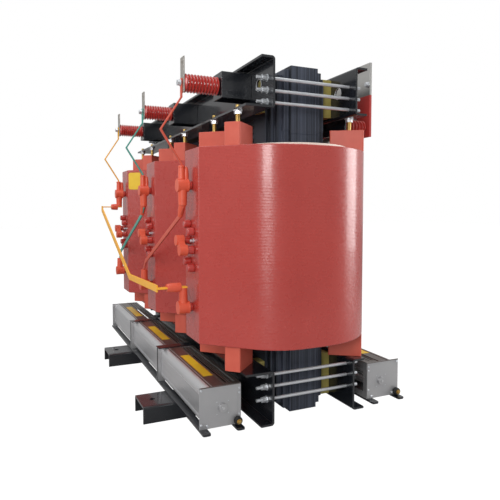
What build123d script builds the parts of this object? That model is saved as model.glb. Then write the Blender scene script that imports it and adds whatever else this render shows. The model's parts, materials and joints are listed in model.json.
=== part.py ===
from build123d import *
import math
import os

os.makedirs("parts", exist_ok=True)

# ---------------------------------------------------------------------------
# Three-phase cast-resin dry type transformer with two rows of cooling fans.
# X runs along the core window, -Y is the high-voltage side, +Y the low-voltage
# side, +Z is up. The origin is on the floor under the middle limb.
# All sizes in millimetres.
# ---------------------------------------------------------------------------

# --- core ---
core_radius = 138.0              # circle round the stepped limb
packet_insets = (13.0, 25.5, 43.0, 63.0, 85.5)  # packet edges, in from the circle
yoke_over_seat = 55.0            # middle of the top yoke over the clamp's flange

# --- windings, from the core outwards ---
coil_height = 709.0
coil_gap = 40.0                  # between neighbouring coils
lv_gap = 28.0                    # core to low-voltage winding
lv_wall = 48.0
barrier_gap = 11.0               # low-voltage winding to barrier
barrier_wall = 6.0
barrier_proud = 16.0             # barrier cylinder above and below the coil
groove_play = 0.5
groove_head = 0.3                # free height over the barrier in its groove
hv_gap = 7.0                     # barrier to high-voltage winding
hv_wall = 57.0                   # high-voltage winding at its sides
hv_side_run = 43.0               # straight run of the coil's sides
hv_face_out = 110.0              # terminal face, past the coil's half width
hv_face_half = 78.0              # half the width of the terminal face
hv_flank_radius = 240.0          # blend from the flank to the side

# --- clamps ---
clamp_over = 214.0               # clamp past the outer limbs' axes
web_gap = 31.0                   # core circle to the clamp webs
sheet = 8.0                      # folded plate
flange_out = 52.0                # outer flange, from the web's inner face
hv_seat_flange = 112.0           # flange that takes the studs, terminal side
top_clamp_height = 178.0
clamp_fold_radius = 12.0
lifting_hole_d = 44.0
lifting_hole_inset = 118.0
bottom_clamp_height = 198.0

# --- tie rods and fastenings ---
rod_d = 12.0
rod_inset = 46.0                 # from the clamp's end
top_rods = (112.0, 69.0, 27.0)   # up from the clamp's foot
bottom_rods = (172.0, 128.0, 82.0)
nut_height = 10.0
nut_flats = 19.0
washer_d = 26.0
washer_thick = 2.5
rod_tail = 20.0                  # thread past the outer nut

# --- pressing blocks and studs ---
block_height_top = 82.0
block_height_bottom = 90.0
block_width = 60.0
block_length = 130.0
hv_block_x = 112.0               # middle of a terminal-side block
hv_block_in = 18.0               # middle of that block, in from the flange's edge
lv_block_angle = 55.0
lv_block_in = 2.0                # middle of a block, in from the barrier's face
stud_reach = 48.0                # block to clamp flange
stud_d = 16.0
stud_nut_flats = 24.0
stud_nut_height = 11.0
stud_washer_d = 34.0
stud_washer_thick = 3.0
stud_tip = 12.0                  # stud above the flange
stud_out = 9.0                   # stud from the middle of its block, outwards
slot_width = 18.0

# --- base beams ---
beam_height = 68.0
beam_in = 225.0                  # beam, in from the outer limbs' axes
beam_width = 156.0
beam_length = 1118.0
beam_wall = 8.0
anchor_hole_d = 22.0
anchor_inset = 54.0              # from the beam's end

# --- fans ---
fan_length = 566.0
fan_gap = 20.0                   # between neighbouring fans
fan_inset = 54.0                 # first fan's end plate, in from the clamp's end
fan_clear = 56.0                 # fans to the clamp flanges
fan_depth = 142.0
fan_height = 148.0
fan_sheet = 1.5
fan_plate = 2.0
fan_side_radius = 34.0
fan_axis_in = 70.0               # fan axis from the inner face
fan_axis_up = 68.0
fan_plate_over = 15.0            # end plate past the case's outer side
window_margin = 22.0
outlet = (14.0, 58.0)            # air outlet in the top, from the inner face
inlet = (24.0, 108.0)            # air inlet in the inner face, from the bottom
motor_d = 62.0
motor_length = 44.0
motor_bore_depth = 20.0
frame_plate = 6.0
frame_strip = 32.0
frame_strip_thick = 3.0
rail_width = 30.0
rail_height = 8.0
rail_over = 42.0                 # rail past the end fan
rotor_radius = 44.0
rotor_blades = 18
blade_chord = 12.0
blade_thick = 1.6
rotor_disc = 3.0
rotor_gap = 6.0                  # rotor disc to end plate
shaft_d = 10.0
shaft_play = 0.05
hub_d = 32.0
hub_length = 9.0

# --- high-voltage terminals ---
terminal_up = 124.0              # lower terminals, from the coil's foot
terminal_down = 135.0            # upper terminals, from the coil's top
boss_d = 46.0
boss_length = 56.0
boss_step = 6.0                  # cast boss inside the cover's edge
boss_foot = 12.0                 # cast boss between coil and cover
tap_d = 34.0
tap_length = 26.0
tap_columns = (-20.0, 22.0)
tap_rows = ((-55.0, 23.0, 84.0), (-77.0, -11.0, 56.0))  # from midway between terminals
linked_tap = 1                   # which tap of each column the link joins
tap_boot_d = 40.0
tap_boot_length = 30.0

# --- post insulators ---
post_length = 133.0
post_core_d = 46.0
post_rib_d = 68.0
post_ribs = 10
post_up = 108.0                  # posts over the clamp's foot
post_offset = -12.0              # from the phase axis
bracket_reach = 120.0            # clamp web to the posts' feet
post_plate = 6.0
bar_thick = 5.0
bar_width = 40.0
bar_above = 93.0
bar_below = 35.0
lead_width = 14.0
lead_thick = 6.0
link_thick = 6.0
link_width = 26.0
link_narrow = 18.0
lead_rise = 16.0                 # lead above the post's axis
lead_drop = 52.0                 # first knee, below the post's axis
lead_knee = 172.0                # second knee, below the post's axis
lead_out = 78.0                  # second knee, out from the bar
sleeve_d = 27.0
sleeve_length = 50.0
outer_link_out = 135.0           # the long link, out from the terminal face
outer_link_x = 140.0             # its knee, from the middle phase
outer_link_up = 60.0             # its knee, over the lower terminals

# --- low-voltage side ---
lv_bracket_thick = 6.0
lv_post_length = 103.0
lv_bus_thick = 10.0
lv_bus_width = 260.0
lv_bus_offset = -43.0
lv_bus_height = 300.0
lv_bus_drop = 55.0               # plate below the clamp's foot
lv_post_d = 60.0
lv_post_core_d = 42.0
lv_post_drop = 15.0              # post axis below the clamp's foot
lv_post_spread = 85.0
lv_post_ribs = 7
lv_lead_width = 90.0
lv_lead_thick = 10.0
lv_lead_rise = 52.0              # first bend, over the coil
lv_lead_up = 67.0                # second bend, over the plate's foot
lv_lead_top = 151.0              # end, over the plate's foot
lv_bus_hole_d = 14.0
lv_bus_hole_x = 60.0
lv_bus_hole_z = 60.0
lv_bus_hole_top = 50.0

# --- worked-out sizes: radii and widths ---
packet_widths = [2 * (core_radius - inset) for inset in packet_insets]
lv_inner_radius = core_radius + lv_gap
lv_outer_radius = lv_inner_radius + lv_wall
barrier_radius = lv_outer_radius + barrier_gap + barrier_wall
hv_inner_radius = barrier_radius + hv_gap
hv_half_width = hv_inner_radius + hv_wall
hv_face_y = hv_half_width + hv_face_out
pitch = 2 * hv_half_width + coil_gap
phases = {"a": -pitch, "b": 0.0, "c": pitch}
web_inner_y = core_radius + web_gap
web_outer_y = web_inner_y + sheet
clamp_length = 2 * (pitch + clamp_over)
rod_x = clamp_length / 2 - rod_inset
hv_block_y = web_inner_y + hv_seat_flange - hv_block_in
lv_block_radius = barrier_radius - lv_block_in
beam_x = pitch - beam_in
anchor_y = beam_length / 2 - anchor_inset
fan_pitch = fan_length + fan_gap
fan_near_x = clamp_length / 2 - fan_inset
fan_inner_y = web_inner_y + flange_out + fan_clear
post_start_y = web_outer_y + bracket_reach
lv_bracket_y = web_inner_y + flange_out
lv_bus_y = lv_bracket_y + lv_bracket_thick + lv_post_length

# --- worked-out sizes: heights, from the floor up ---
beam_top_z = beam_height
bottom_clamp_top_z = beam_top_z + bottom_clamp_height
coil_bottom_z = bottom_clamp_top_z + block_height_bottom
coil_top_z = coil_bottom_z + coil_height
block_top_z = coil_top_z + block_height_top
top_clamp_bottom_z = block_top_z + stud_reach
top_clamp_top_z = top_clamp_bottom_z + top_clamp_height
top_yoke_z = top_clamp_bottom_z + yoke_over_seat
top_rod_z = [top_clamp_bottom_z + up for up in top_rods]
bottom_rod_z = [beam_top_z + up for up in bottom_rods]
terminal_z = (coil_bottom_z + terminal_up, coil_top_z - terminal_down)
tap_mid_z = (terminal_z[0] + terminal_z[1]) / 2
tap_z = [[tap_mid_z + up for up in row] for row in tap_rows]
post_z = top_clamp_bottom_z + post_up
lv_bus_bottom_z = top_clamp_bottom_z - lv_bus_drop
lv_bus_top_z = lv_bus_bottom_z + lv_bus_height
lv_post_z = top_clamp_bottom_z - lv_post_drop
bottom_yoke_z = beam_height + packet_widths[0] / 2
half_depths = [math.sqrt(core_radius ** 2 - (w / 2) ** 2) for w in packet_widths]
yoke_pad = web_inner_y - half_depths[-1]
face_y = -hv_face_y
boss_end_y = face_y - boss_length


def write(name, made):
    """Label one finished piece and write it."""
    made.part.label = name
    export_step(made.part, "parts/" + name + ".step")


def band(points, width):
    """Outline of a flat bar bent along a polyline, with mitred corners."""
    left, right = [], []
    n = len(points)
    for i, (px, py) in enumerate(points):
        dirs = []
        if i > 0:
            dirs.append((px - points[i - 1][0], py - points[i - 1][1]))
        if i < n - 1:
            dirs.append((points[i + 1][0] - px, points[i + 1][1] - py))
        norms = []
        for dx, dy in dirs:
            d = math.hypot(dx, dy)
            norms.append((-dy / d, dx / d))
        nx = sum(v[0] for v in norms) / len(norms)
        ny = sum(v[1] for v in norms) / len(norms)
        k = (width / 2) / (nx * nx + ny * ny)
        left.append((px + nx * k, py + ny * k))
        right.append((px - nx * k, py - ny * k))
    return left + right[::-1]


def coil_outline(x):
    """Plan of the outer coil: round at the back, flanks to a flat terminal face."""
    a = hv_half_width
    corner_y = -(hv_face_y - (a - hv_face_half))
    with BuildLine() as line:
        Polyline(
            (x + a, -hv_side_run),
            (x + a, corner_y),
            (x + hv_face_half, face_y),
            (x - hv_face_half, face_y),
            (x - a, corner_y),
            (x - a, -hv_side_run),
        )
        Line((x + a, -hv_side_run), (x + a, 0))
        Line((x - a, -hv_side_run), (x - a, 0))
        ThreePointArc((x + a, 0), (x, a), (x - a, 0))
    return line


# ---------------------------------------------------------------------------
# Core: stepped limbs between stepped yokes
# ---------------------------------------------------------------------------
for key, x in phases.items():
    with BuildPart() as limb:
        inner = 0.0
        for w, d in zip(packet_widths, half_depths):
            low = bottom_yoke_z + w / 2
            high = top_yoke_z - w / 2
            mid = (low + high) / 2
            if inner == 0.0:
                with Locations((x, 0, mid)):
                    Box(w, 2 * d, high - low)
            else:
                step = d - inner
                with Locations((x, inner + step / 2, mid), (x, -inner - step / 2, mid)):
                    Box(w, step, high - low)
            inner = d
    write("core_limb_" + key, limb)

for name, z in (("core_yoke_bottom", bottom_yoke_z), ("core_yoke_top", top_yoke_z)):
    with BuildPart() as yoke:
        for w, d in zip(packet_widths, half_depths):
            with Locations((0, 0, z)):
                Box(2 * pitch + w, 2 * d, w)
    write(name, yoke)

# ---------------------------------------------------------------------------
# Windings, one set on each limb
# ---------------------------------------------------------------------------
for key, x in phases.items():
    with BuildPart() as hv:
        with BuildSketch(Plane.XY.offset(coil_bottom_z)) as plan:
            with BuildLine() as edge:
                add(coil_outline(x).line)
            make_face()
            bend = plan.vertices().filter_by(
                lambda v: abs(abs(v.X - x) - hv_half_width) < 1 and v.Y < -hv_side_run - 1
            )
            fillet(bend, hv_flank_radius)
            with Locations((x, 0)):
                Circle(hv_inner_radius, mode=Mode.SUBTRACT)
        extrude(amount=coil_height)
    write("hv_coil_" + key, hv)

    with BuildPart() as barrier:
        with BuildSketch(Plane.XY.offset(coil_bottom_z - barrier_proud)):
            with Locations((x, 0)):
                Circle(barrier_radius)
                Circle(barrier_radius - barrier_wall, mode=Mode.SUBTRACT)
        extrude(amount=coil_height + 2 * barrier_proud)
    write("barrier_cylinder_" + key, barrier)

    with BuildPart() as lv:
        with BuildSketch(Plane.XY.offset(coil_bottom_z)):
            with Locations((x, 0)):
                Circle(lv_outer_radius)
                Circle(lv_inner_radius, mode=Mode.SUBTRACT)
        extrude(amount=coil_height)
    write("lv_coil_" + key, lv)

# bosses of the terminals and of the tap studs, on the flat terminal faces
with BuildPart() as bosses:
    for x in phases.values():
        for z in terminal_z:
            with BuildSketch(Plane.XZ.offset(hv_face_y)):
                with Locations((x, z)):
                    Circle(boss_d / 2 - boss_step)
            extrude(amount=boss_foot)
        for col, heights in zip(tap_columns, tap_z):
            for z in heights:
                with BuildSketch(Plane.XZ.offset(hv_face_y)):
                    with Locations((x + col, z)):
                        Circle(tap_d / 2)
                extrude(amount=tap_length, taper=6)
write("coil_bosses", bosses)

# ---------------------------------------------------------------------------
# Pressing blocks: four above and four below each coil
# ---------------------------------------------------------------------------
lv_block_x = lv_block_radius * math.cos(math.radians(lv_block_angle))
lv_block_y = lv_block_radius * math.sin(math.radians(lv_block_angle))
block_places = (
    (hv_block_x, -hv_block_y, -45.0),
    (-hv_block_x, -hv_block_y, -135.0),
    (lv_block_x, lv_block_y, lv_block_angle),
    (-lv_block_x, lv_block_y, 180.0 - lv_block_angle),
)
stud_places = [
    (
        bx + stud_out * math.cos(math.radians(turn)),
        by + stud_out * math.sin(math.radians(turn)),
    )
    for bx, by, turn in block_places
]
groove_depth = barrier_proud + groove_head
for name, low, tall, groove_z in (
    ("upper_blocks", coil_top_z, block_height_top, coil_top_z),
    ("lower_blocks", bottom_clamp_top_z, block_height_bottom, coil_bottom_z - groove_depth),
):
    with BuildPart() as blocks:
        for x in phases.values():
            for bx, by, turn in block_places:
                with Locations(Location((x + bx, by, low + tall / 2), (0, 0, turn))):
                    Box(block_length, block_width, tall)
        chamfer(blocks.edges().filter_by(Axis.Z), 3)
        for x in phases.values():
            with BuildSketch(Plane.XY.offset(groove_z)):
                with Locations((x, 0)):
                    Circle(barrier_radius + groove_play)
                    Circle(barrier_radius - barrier_wall - groove_play, mode=Mode.SUBTRACT)
            extrude(amount=groove_depth, mode=Mode.SUBTRACT)
    write(name, blocks)

# studs that stand in the upper blocks and press the clamps up off the coils
stud_base_z = block_top_z
with BuildPart() as studs:
    for x in phases.values():
        for sx, sy in stud_places:
            with BuildSketch(Plane.XY.offset(stud_base_z)):
                with Locations((x + sx, sy)):
                    Circle(stud_d / 2)
            extrude(amount=top_clamp_bottom_z + sheet + stud_tip - stud_base_z)
write("pressing_studs", studs)

with BuildPart() as stud_nuts:
    for x in phases.values():
        for sx, sy in stud_places:
            top = top_clamp_bottom_z
            with BuildSketch(Plane.XY.offset(top - stud_washer_thick)):
                with Locations((x + sx, sy)):
                    Circle(stud_washer_d / 2)
                    Circle(stud_d / 2, mode=Mode.SUBTRACT)
            extrude(amount=stud_washer_thick)
            with BuildSketch(Plane.XY.offset(top - stud_washer_thick - stud_nut_height)):
                with Locations((x + sx, sy)):
                    RegularPolygon(stud_nut_flats / 2, 6, major_radius=False)
                    Circle(stud_d / 2, mode=Mode.SUBTRACT)
            extrude(amount=stud_nut_height)
write("stud_nuts", stud_nuts)

# ---------------------------------------------------------------------------
# Yoke clamps: folded channels with their flanges turned away from the core
# ---------------------------------------------------------------------------


def channel_points(side, low, high, flange_low, flange_high):
    """Section of a clamp in the YZ plane; side is -1 or +1."""
    y0, t = web_inner_y, sheet
    pts = [
        (y0, low),
        (y0 + flange_low, low),
        (y0 + flange_low, low + t),
        (y0 + t, low + t),
        (y0 + t, high - t),
        (y0 + flange_high, high - t),
        (y0 + flange_high, high),
        (y0, high),
    ]
    return [(side * y, z) for y, z in pts]


clamps = (
    ("top_clamp_hv", -1, top_clamp_bottom_z, top_clamp_top_z, hv_seat_flange, flange_out),
    ("top_clamp_lv", 1, top_clamp_bottom_z, top_clamp_top_z, flange_out, flange_out),
    ("bottom_clamp_hv", -1, beam_top_z, bottom_clamp_top_z, flange_out, hv_seat_flange),
    ("bottom_clamp_lv", 1, beam_top_z, bottom_clamp_top_z, flange_out, flange_out),
)
base_bolt_y = web_inner_y + flange_out - 20.0
base_bolt_d = 14.0
base_bolt_spread = 48.0
base_bolt_places = [
    (sx * beam_x + dx, sy * base_bolt_y)
    for sx in (-1, 1)
    for sy in (-1, 1)
    for dx in (-base_bolt_spread, base_bolt_spread)
]
for name, side, low, high, f_low, f_high in clamps:
    top = low == top_clamp_bottom_z
    with BuildPart() as clamp:
        with BuildSketch(Plane.YZ.offset(-clamp_length / 2)) as section:
            with BuildLine():
                Polyline(*channel_points(side, low, high, f_low, f_high), close=True)
            make_face()
            outer = section.vertices().filter_by(
                lambda v: abs(abs(v.X) - web_inner_y) < 0.1
            )
            fillet(outer, clamp_fold_radius)
            inner = section.vertices().filter_by(
                lambda v: abs(abs(v.X) - web_outer_y) < 0.1
            )
            fillet(inner, clamp_fold_radius - sheet)
        extrude(amount=clamp_length)
        # tie rod holes and lifting holes through the web
        hole_from = web_inner_y - 1 if side < 0 else -(web_outer_y + 1)
        with BuildSketch(Plane.XZ.offset(hole_from)):
            for sx in (-1, 1):
                with Locations(*[(sx * rod_x, z) for z in (top_rod_z if top else bottom_rod_z)]):
                    Circle(rod_d / 2 + 0.5)
                if top:
                    with Locations((sx * (clamp_length / 2 - lifting_hole_inset), (low + high) / 2 + 12)):
                        Circle(lifting_hole_d / 2)
        extrude(amount=sheet + 2, mode=Mode.SUBTRACT)
        if top:
            # slots, open at the flange's edge, that take the pressing studs
            with BuildSketch(Plane.XY.offset(low - 1)):
                for x in phases.values():
                    for sx, sy in stud_places:
                        if sy * side > 0:
                            far = web_inner_y + f_low + 1
                            run = far - abs(sy)
                            with Locations((x + sx, side * (abs(sy) + run / 2))):
                                Rectangle(slot_width, run)
                            with Locations((x + sx, sy)):
                                Circle(slot_width / 2)
            extrude(amount=sheet + 2, mode=Mode.SUBTRACT)
        else:
            with BuildSketch(Plane.XY.offset(low - 1)):
                with Locations(*[(bx, by) for bx, by in base_bolt_places if by * side > 0]):
                    Circle(base_bolt_d / 2 + 1)
            extrude(amount=sheet + 2, mode=Mode.SUBTRACT)
    write(name, clamp)

# insulating pads between the yokes and the clamp webs
pad_over = 20.0                  # end pads past the outer limbs' axes
pad_x = (-pitch - pad_over, -pitch / 2, 0.0, pitch / 2, pitch + pad_over)
pad_width = 56.0
pad_margin = 14.0
with BuildPart() as pads:
    for low, high, mid in (
        (top_clamp_bottom_z, top_clamp_top_z, top_yoke_z),
        (beam_top_z, bottom_clamp_top_z, bottom_yoke_z),
    ):
        for side in (-1, 1):
            for x in pad_x:
                with Locations((x, side * (web_inner_y - yoke_pad / 2), (low + high) / 2)):
                    Box(pad_width, yoke_pad, high - low - 2 * pad_margin)
write("yoke_pads", pads)

# ---------------------------------------------------------------------------
# Tie rods along Y with double nuts, and the bolts that hold the base beams
# ---------------------------------------------------------------------------
nut_stack = washer_thick + 2 * nut_height
rod_half = web_outer_y + nut_stack + rod_tail
with BuildPart() as rods:
    for sx in (-1, 1):
        for z in top_rod_z + bottom_rod_z:
            with BuildSketch(Plane.XZ.offset(-rod_half)):
                with Locations((sx * rod_x, z)):
                    Circle(rod_d / 2)
            extrude(amount=2 * rod_half)
write("tie_rods", rods)

with BuildPart() as rod_nuts:
    for side in (-1, 1):
        for sx in (-1, 1):
            for z in top_rod_z + bottom_rod_z:
                place = (sx * rod_x, z)
                base = web_outer_y if side < 0 else -web_outer_y - washer_thick
                with BuildSketch(Plane.XZ.offset(base)):
                    with Locations(place):
                        Circle(washer_d / 2)
                        Circle(rod_d / 2, mode=Mode.SUBTRACT)
                extrude(amount=washer_thick)
                for k in range(2):
                    off = web_outer_y + washer_thick + k * nut_height
                    base = off if side < 0 else -off - nut_height
                    with BuildSketch(Plane.XZ.offset(base)):
                        with Locations(place):
                            RegularPolygon(nut_flats / 2, 6, major_radius=False, rotation=k * 20)
                            Circle(rod_d / 2, mode=Mode.SUBTRACT)
                    extrude(amount=nut_height)
write("tie_rod_nuts", rod_nuts)

base_head = 9.0
base_tail = 14.0
with BuildPart() as base_bolts:
    for bx, by in base_bolt_places:
        with BuildSketch(Plane.XY.offset(beam_top_z - beam_wall - base_tail)):
            with Locations((bx, by)):
                Circle(base_bolt_d / 2)
        extrude(amount=base_tail + beam_wall + sheet + 1)
        with BuildSketch(Plane.XY.offset(beam_top_z + sheet)):
            with Locations((bx, by)):
                RegularPolygon(nut_flats / 2 + 1, 6, major_radius=False)
        extrude(amount=base_head)
write("base_bolts", base_bolts)

# ---------------------------------------------------------------------------
# Base beams: folded channels lying on the floor, open downwards
# ---------------------------------------------------------------------------
for name, x in (("base_beam_left", -beam_x), ("base_beam_right", beam_x)):
    with BuildPart() as beam:
        with BuildSketch(Plane.XZ.offset(-beam_length / 2)) as section:
            with Locations((x, beam_height / 2)):
                Rectangle(beam_width, beam_height)
            fillet(section.vertices().group_by(Axis.Y)[-1], 10)
            with Locations((x, (beam_height - beam_wall) / 2)):
                Rectangle(beam_width - 2 * beam_wall, beam_height - beam_wall, mode=Mode.SUBTRACT)
        extrude(amount=beam_length)
        with BuildSketch(Plane.XY.offset(beam_height - beam_wall - 1)):
            with Locations((x, -anchor_y), (x, anchor_y)):
                Circle(anchor_hole_d / 2)
            with Locations(*[(bx, by) for bx, by in base_bolt_places if bx * x > 0]):
                Circle(base_bolt_d / 2 + 1)
        extrude(amount=beam_wall + 2, mode=Mode.SUBTRACT)
    write(name, beam)

# ---------------------------------------------------------------------------
# Cooling fans: three on each side, on two rails that lie on the base beams
# ---------------------------------------------------------------------------
fan_bottom_z = beam_top_z + rail_height
fan_top_z = fan_bottom_z + fan_height
fan_axis_y = fan_inner_y + fan_axis_in
fan_axis_z = fan_bottom_z + fan_axis_up
fan_outer_y = fan_inner_y + fan_depth
fan_near = [fan_near_x - i * fan_pitch for i in range(3)]
rail_y = (fan_inner_y + rail_width / 2, fan_outer_y + fan_plate_over - rail_width / 2)
rail_from = fan_near[-1] - fan_length - rail_over
rail_to = fan_near_x + rail_over
case_length = fan_length - 2 * fan_plate

sides = (-1, 1)
plate_width = fan_depth + fan_plate_over
frame_gap = fan_pitch - fan_length

with BuildPart() as rails:
    with BuildSketch(Plane.XY.offset(beam_top_z)) as plan:
        for side in sides:
            for y in rail_y:
                with Locations(((rail_from + rail_to) / 2, side * y)):
                    Rectangle(rail_to - rail_from, rail_width)
        fillet(plan.vertices(), 8)
    extrude(amount=rail_height)
write("fan_rails", rails)

for side, tag in ((-1, "hv"), (1, "lv")):
    with BuildPart() as cases:
        for near in fan_near:
            start = near - fan_length + fan_plate
            mid_y = side * (fan_inner_y + fan_depth / 2)
            mid_z = fan_bottom_z + fan_height / 2
            with BuildSketch(Plane.YZ.offset(start)) as section:
                with Locations((mid_y, mid_z)):
                    Rectangle(fan_depth, fan_height)
                rim = section.vertices().filter_by(lambda v: abs(abs(v.X) - fan_outer_y) < 0.1)
                fillet(rim, fan_side_radius)
                offset(section.face(), -fan_sheet, mode=Mode.SUBTRACT)
            extrude(amount=case_length)
            mid_x = start + case_length / 2
            open_length = case_length - 2 * window_margin
            with Locations(
                (mid_x, side * (fan_inner_y + (outlet[0] + outlet[1]) / 2), fan_top_z)
            ):
                Box(open_length, outlet[1] - outlet[0], 10, mode=Mode.SUBTRACT)
            with Locations(
                (mid_x, side * fan_inner_y, fan_bottom_z + (inlet[0] + inlet[1]) / 2)
            ):
                Box(open_length, 10, inlet[1] - inlet[0], mode=Mode.SUBTRACT)
    write("fan_cases_" + tag, cases)

# end plates; the one at the free end carries the bearing, the other the motor
with BuildPart() as plates:
    for side in sides:
        for near in fan_near:
            for low in (near - fan_plate, near - fan_length):
                with BuildSketch(Plane.YZ.offset(low)):
                    with Locations((side * (fan_inner_y + plate_width / 2), fan_bottom_z + fan_height / 2)):
                        Rectangle(plate_width, fan_height)
                    if low > near - fan_length / 2:
                        with Locations((side * fan_axis_y, fan_axis_z)):
                            Circle(hub_d / 2 - 4, mode=Mode.SUBTRACT)
                extrude(amount=fan_plate)
write("fan_end_plates", plates)

with BuildPart() as hubs:
    for side in sides:
        for near in fan_near:
            with BuildSketch(Plane.YZ.offset(near - fan_plate)):
                with Locations((side * fan_axis_y, fan_axis_z)):
                    Circle(hub_d / 2 - 4)
                    Circle(shaft_d / 2 + shaft_play, mode=Mode.SUBTRACT)
            extrude(amount=fan_plate)
            with BuildSketch(Plane.YZ.offset(near)):
                with Locations((side * fan_axis_y, fan_axis_z)):
                    Circle(hub_d / 2)
                    Circle(shaft_d / 2 + shaft_play, mode=Mode.SUBTRACT)
            extrude(amount=hub_length)
write("fan_bearings", hubs)

with BuildPart() as motors:
    for side in sides:
        for near in fan_near:
            start = near - fan_length + fan_plate
            with BuildSketch(Plane.YZ.offset(start)):
                with Locations((side * fan_axis_y, fan_axis_z)):
                    Circle(motor_d / 2)
            extrude(amount=motor_length)
            with BuildSketch(Plane.YZ.offset(start + motor_length - motor_bore_depth)):
                with Locations((side * fan_axis_y, fan_axis_z)):
                    Circle(shaft_d / 2 + shaft_play)
            extrude(amount=motor_bore_depth, mode=Mode.SUBTRACT)
write("fan_motors", motors)

# black frames between neighbouring fans, with a strip over the joint
with BuildPart() as frames:
    for side in sides:
        plate_y = side * (fan_inner_y + plate_width / 2)
        for near in fan_near[1:]:
            mid_x = near + frame_gap / 2
            with BuildSketch(Plane.YZ.offset(mid_x - frame_plate / 2)):
                with Locations((plate_y, fan_bottom_z + fan_height / 2)):
                    Rectangle(plate_width, fan_height)
                with Locations((side * fan_axis_y, fan_axis_z)):
                    Circle(hub_d / 2 + 8, mode=Mode.SUBTRACT)
            extrude(amount=frame_plate)
            with Locations((mid_x, plate_y, fan_top_z + frame_strip_thick / 2)):
                Box(frame_strip + frame_gap, plate_width, frame_strip_thick)
write("fan_frames", frames)

# rotors: shaft, discs and blades, each turning about its own shaft
rotor_from = -fan_length + fan_plate + motor_length + rotor_gap
rotor_to = -fan_plate - rotor_gap
disc_count = 5
for side, tag in ((-1, "hv"), (1, "lv")):
    for i, near in enumerate(fan_near):
        with BuildPart() as rotor:
            axis_plane = Plane(
                origin=(near, side * fan_axis_y, fan_axis_z), x_dir=(0, 1, 0), z_dir=(1, 0, 0)
            )
            with BuildSketch(axis_plane.offset(rotor_from - rotor_gap - motor_bore_depth + 2)):
                Circle(shaft_d / 2)
            extrude(amount=hub_length + 1.5 - (rotor_from - rotor_gap - motor_bore_depth + 2))
            for k in range(disc_count):
                at = rotor_from + k * (rotor_to - rotor_disc - rotor_from) / (disc_count - 1)
                with BuildSketch(axis_plane.offset(at)):
                    Circle(rotor_radius)
                extrude(amount=rotor_disc)
            with BuildSketch(axis_plane.offset(rotor_from + rotor_disc)):
                with PolarLocations(rotor_radius - blade_chord / 2 - 1, rotor_blades):
                    Rectangle(blade_chord, blade_thick, rotation=32)
            extrude(amount=rotor_to - rotor_from - 2 * rotor_disc)
        write("fan_rotor_" + tag + "_" + str(i + 1), rotor)

# ---------------------------------------------------------------------------
# High-voltage posts on brackets, upright bars and leads
# ---------------------------------------------------------------------------


def ribbed_section(length, core_d, rib_d, ribs):
    """Half the section of a ribbed insulator, from its foot along its axis."""
    rib_pitch = length / ribs
    pts = [(0.0, 0.0), (core_d / 2, 0.0)]
    for k in range(ribs):
        at = k * rib_pitch
        pts += [
            (core_d / 2, at + 0.18 * rib_pitch),
            (rib_d / 2, at + 0.38 * rib_pitch),
            (rib_d / 2, at + 0.62 * rib_pitch),
            (core_d / 2, at + 0.82 * rib_pitch),
        ]
    return pts + [(core_d / 2, length), (0.0, length)]


post_end_y = post_start_y + post_length
bracket_half = 44.0
bracket_tall = 96.0
cheek = 6.0
with BuildPart() as brackets:
    for x in phases.values():
        px = x + post_offset
        with Locations((px, -(post_start_y - post_plate / 2), post_z)):
            Box(2 * bracket_half, post_plate, bracket_tall)
        deep = post_start_y - post_plate - web_outer_y
        for sx in (-1, 1):
            with Locations((px + sx * (bracket_half - cheek / 2), -(web_outer_y + deep / 2), post_z)):
                Box(cheek, deep, bracket_tall)
write("post_brackets", brackets)

with BuildPart() as posts:
    for x in phases.values():
        foot = (x + post_offset, -post_start_y, post_z)
        with BuildSketch(Plane(origin=foot, x_dir=(1, 0, 0), z_dir=(0, 0, 1))):
            with BuildLine():
                half = ribbed_section(post_length, post_core_d, post_rib_d, post_ribs)
                Polyline(*[(r, -a) for r, a in half], close=True)
            make_face()
        revolve(axis=Axis(foot, (0, -1, 0)))
write("hv_posts", posts)

with BuildPart() as uprights:
    for x in phases.values():
        tall = bar_above + bar_below
        mid_z = post_z + (bar_above - bar_below) / 2
        with Locations((x + post_offset, -(post_end_y + bar_thick / 2), mid_z)):
            Box(bar_width, bar_thick, tall)
        with BuildSketch(Plane.XZ.offset(post_end_y - 1)):
            with Locations((x + post_offset, post_z + bar_above - 22)):
                Circle(6.5)
        extrude(amount=bar_thick + 2, mode=Mode.SUBTRACT)
write("terminal_bars", uprights)

# leads from the upright bars down to the top terminals
lead_y = post_end_y + bar_thick + lead_thick / 2
sleeve_y = hv_face_y + boss_length * 0.62
sleeve_top_z = terminal_z[1] + boss_d / 2 + sleeve_length
lead_path = (
    (-lead_y, post_z + lead_rise),
    (-lead_y, post_z - lead_drop),
    (-lead_y - lead_out, post_z - lead_knee),
    (-sleeve_y, sleeve_top_z + lead_thick),
    (-sleeve_y, sleeve_top_z),
)
for key, x in phases.items():
    with BuildPart() as lead:
        with BuildSketch(Plane.YZ.offset(x + post_offset - lead_width / 2)):
            with BuildLine():
                Polyline(*band(lead_path, lead_thick), close=True)
            make_face()
        extrude(amount=lead_width)
    write("hv_lead_" + key, lead)

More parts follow.
